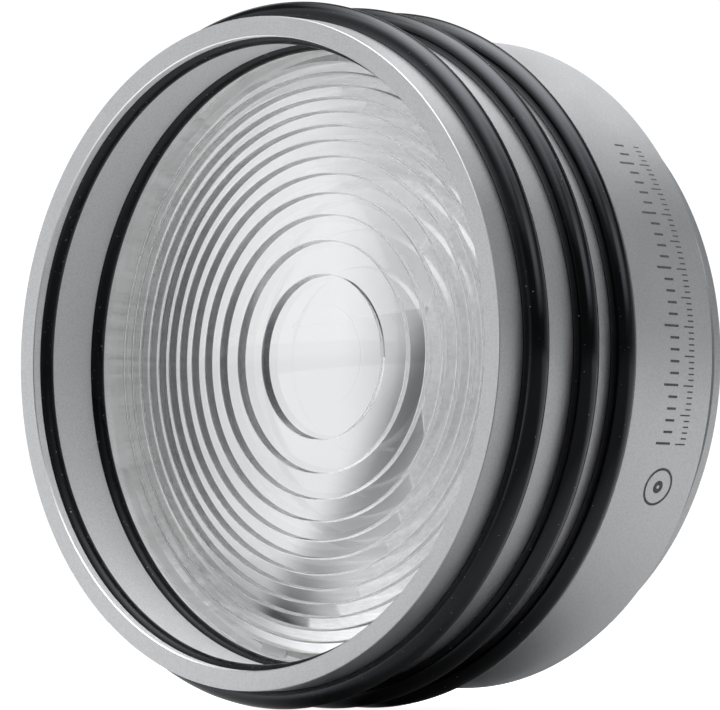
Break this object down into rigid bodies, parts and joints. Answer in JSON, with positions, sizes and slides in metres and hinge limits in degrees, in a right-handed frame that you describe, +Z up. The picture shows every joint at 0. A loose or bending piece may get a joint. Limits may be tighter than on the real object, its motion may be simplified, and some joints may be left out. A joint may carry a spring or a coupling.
{
  "type": "fresnel spotlight lens barrel",
  "caption": "Short metal tube with a stepped glass lens, rubber heat rings around it and a rear spigot, for the front of a studio light head.",
  "frame": {"origin": "on the optical axis, in the plane of the rear shoulder that seats on the light head", "axes": "+Y along the optical axis towards the light head, -Y the way the light leaves, +Z up"},
  "size_m": [0.1054, 0.054, 0.1054],
  "materials": {
    "anodised_shell": "fine bead-blasted, clear anodised, satin",
    "anodised_sleeve": "turned and clear anodised, satin",
    "lens_glass": "clear pressed glass, polished stepped front, plain back",
    "gasket_silicone": "milky white silicone, satin",
    "ring_rubber": "smooth black moulded rubber, slightly dusty"
  },
  "bodies": {
    "root": {"barrel": "anodised_shell", "mount_sleeve": "anodised_sleeve", "fresnel_lens": "lens_glass", "lens_gasket": "gasket_silicone", "lens_retaining_ring": "ring_rubber", "accessory_grip_ring": "ring_rubber", "guard_ring_front": "ring_rubber", "guard_ring_middle": "ring_rubber", "guard_ring_rear": "ring_rubber"}
  },
  "joints": []
}
